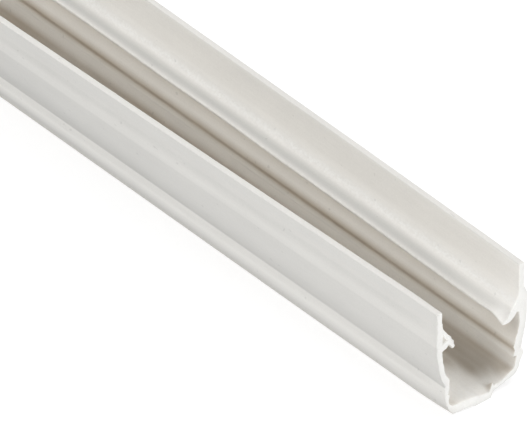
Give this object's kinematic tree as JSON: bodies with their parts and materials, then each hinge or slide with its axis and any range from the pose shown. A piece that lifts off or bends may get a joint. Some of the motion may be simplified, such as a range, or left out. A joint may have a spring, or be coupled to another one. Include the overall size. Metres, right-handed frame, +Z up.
{
  "type": "slot cover strip",
  "caption": "Off-white plastic strip with a lipped U section that snaps into a framing slot to cover it or to grip the edge of a panel.",
  "frame": {"origin": "centre of the flat land on the closed face, midway along the strip", "axes": "+X along the strip, +Y across it towards the taller leg, +Z up towards the open side"},
  "size_m": [1, 0.0104, 0.0126],
  "materials": {
    "strip_plastic": "matte off-white extruded plastic with fine lengthwise die lines"
  },
  "bodies": {
    "root": {"cover_strip": "strip_plastic"}
  },
  "joints": []
}
